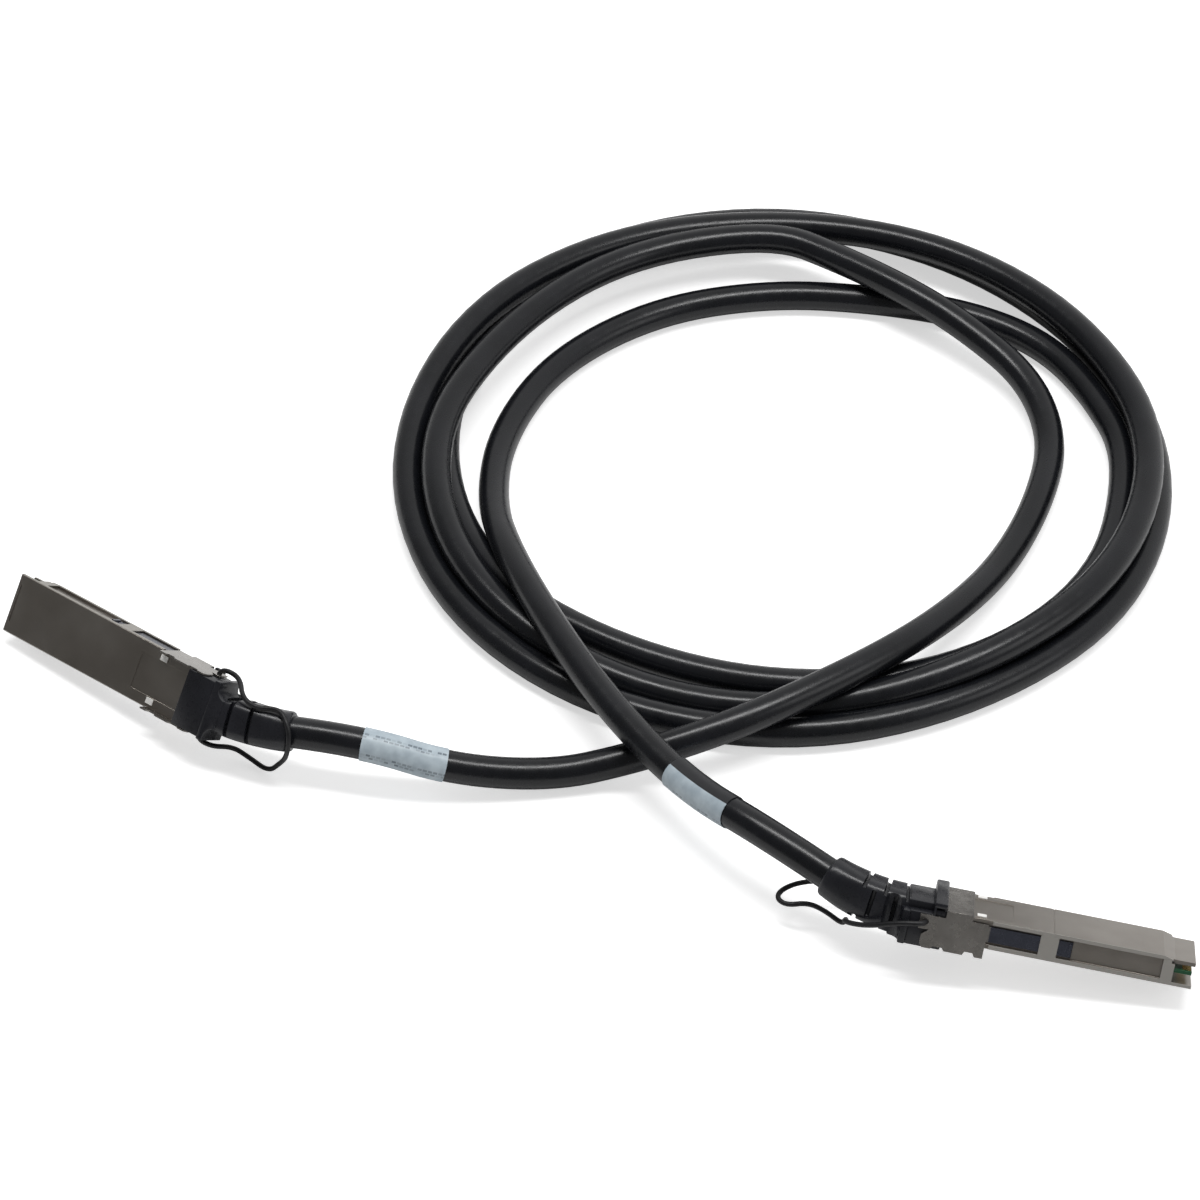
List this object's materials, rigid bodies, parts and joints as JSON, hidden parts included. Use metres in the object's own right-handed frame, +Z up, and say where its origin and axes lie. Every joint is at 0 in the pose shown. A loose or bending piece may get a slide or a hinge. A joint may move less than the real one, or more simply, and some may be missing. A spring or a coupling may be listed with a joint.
{
  "type": "direct attach copper cable",
  "caption": "Pluggable copper modules at both ends of a coiled cable, each with a pull latch, a cord loop and a bent slotted boot.",
  "frame": {"origin": "centre of the floor rectangle under the modules, on the floor", "axes": "+X to the right in the picture, +Y away from the camera, +Z up; the longest extent of the modules is along X and the shortest along Z"},
  "size_m": [0.3557, 0.3382, 0.0278],
  "materials": {
    "plated_zinc": "satin die-cast plating",
    "plated_steel": "satin",
    "card_green": "solder mask",
    "gold": "polished",
    "chip_black": "matte",
    "pair_insulation": "foil wrap",
    "boot_black": "satin",
    "cord_black": "satin",
    "jacket_black": "satin",
    "sleeve_white": "semi-gloss"
  },
  "bodies": {
    "cable_and_modules": {"upper_shell_a": "plated_zinc", "lower_shell_a": "plated_zinc", "paddle_card_a": "card_green", "contact_pads_a": "gold", "memory_chip_a": "chip_black", "twinax_pairs_a": "pair_insulation", "crimp_ferrule_a": "plated_steel", "strain_relief_a": "boot_black", "cable_lead_a": "jacket_black", "label_a": "sleeve_white", "upper_shell_b": "plated_zinc", "lower_shell_b": "plated_zinc", "paddle_card_b": "card_green", "contact_pads_b": "gold", "memory_chip_b": "chip_black", "twinax_pairs_b": "pair_insulation", "crimp_ferrule_b": "plated_steel", "strain_relief_b": "boot_black", "cable_lead_b": "jacket_black", "label_b": "sleeve_white", "cable_coil": "jacket_black"},
    "latch_a": {"latch_slide_a": "plated_steel", "lanyard_a": "cord_black"},
    "latch_b": {"latch_slide_b": "plated_steel", "lanyard_b": "cord_black"}
  },
  "joints": [
    {"name": "latch_pull_a", "type": "slide", "parent": "cable_and_modules", "child": "latch_a", "axis": [0.7865, -0.6144, 0.0628], "range_m": [0, 0.0028], "stiffness_N_per_m": 1500},
    {"name": "latch_pull_b", "type": "slide", "parent": "cable_and_modules", "child": "latch_b", "axis": [-0.9808, 0.1624, 0.108], "range_m": [0, 0.0028], "stiffness_N_per_m": 1500}
  ]
}
